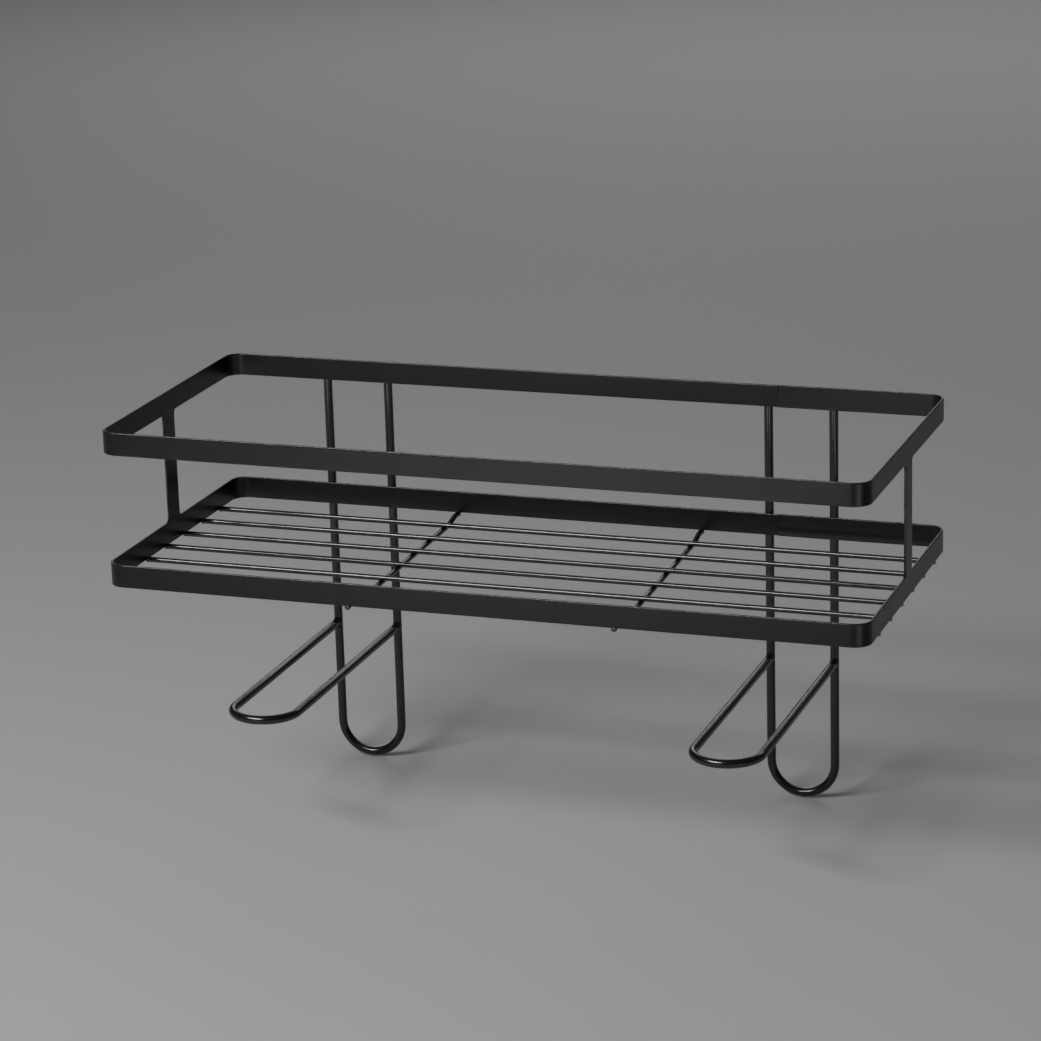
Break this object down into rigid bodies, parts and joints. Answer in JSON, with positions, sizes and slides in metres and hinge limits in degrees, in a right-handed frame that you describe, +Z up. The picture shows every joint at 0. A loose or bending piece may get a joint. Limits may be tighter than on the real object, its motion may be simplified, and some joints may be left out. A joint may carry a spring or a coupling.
{
  "type": "over the toilet storage rack",
  "caption": "Black powder-coated steel rack for a toilet tank: an open wire-floored tray with a rail, rod posts behind the tank and rod loops that rest on its lid.",
  "frame": {"origin": "midway along the rack, where the plane of the foot loops' undersides (the tank lid's top) meets the plane of the hoops' rear faces and the posts' front faces", "axes": "+X along the rack to the right as seen from the front, +Y back towards the wall, +Z up"},
  "size_m": [0.4, 0.1727, 0.2285],
  "materials": {
    "strip_powder_coat": "satin",
    "rod_powder_coat": "satin",
    "weld_powder_coat": "satin"
  },
  "bodies": {
    "root": {"cross_wire_welds": "weld_powder_coat", "foot_loop_welds": "weld_powder_coat", "left_cross_wire": "rod_powder_coat", "left_foot_loop": "rod_powder_coat", "left_rear_posts": "rod_powder_coat", "left_upright": "strip_powder_coat", "post_welds": "weld_powder_coat", "right_cross_wire": "rod_powder_coat", "right_foot_loop": "rod_powder_coat", "right_rear_posts": "rod_powder_coat", "right_upright": "strip_powder_coat", "tray_rim": "strip_powder_coat", "tray_rim_seam_weld": "weld_powder_coat", "tray_wire_1": "rod_powder_coat", "tray_wire_2": "rod_powder_coat", "tray_wire_3": "rod_powder_coat", "tray_wire_4": "rod_powder_coat", "tray_wire_5": "rod_powder_coat", "tray_wire_6": "rod_powder_coat", "tray_wire_welds": "weld_powder_coat", "upper_rail": "strip_powder_coat", "upper_rail_seam_weld": "weld_powder_coat", "upright_welds": "weld_powder_coat"}
  },
  "joints": []
}
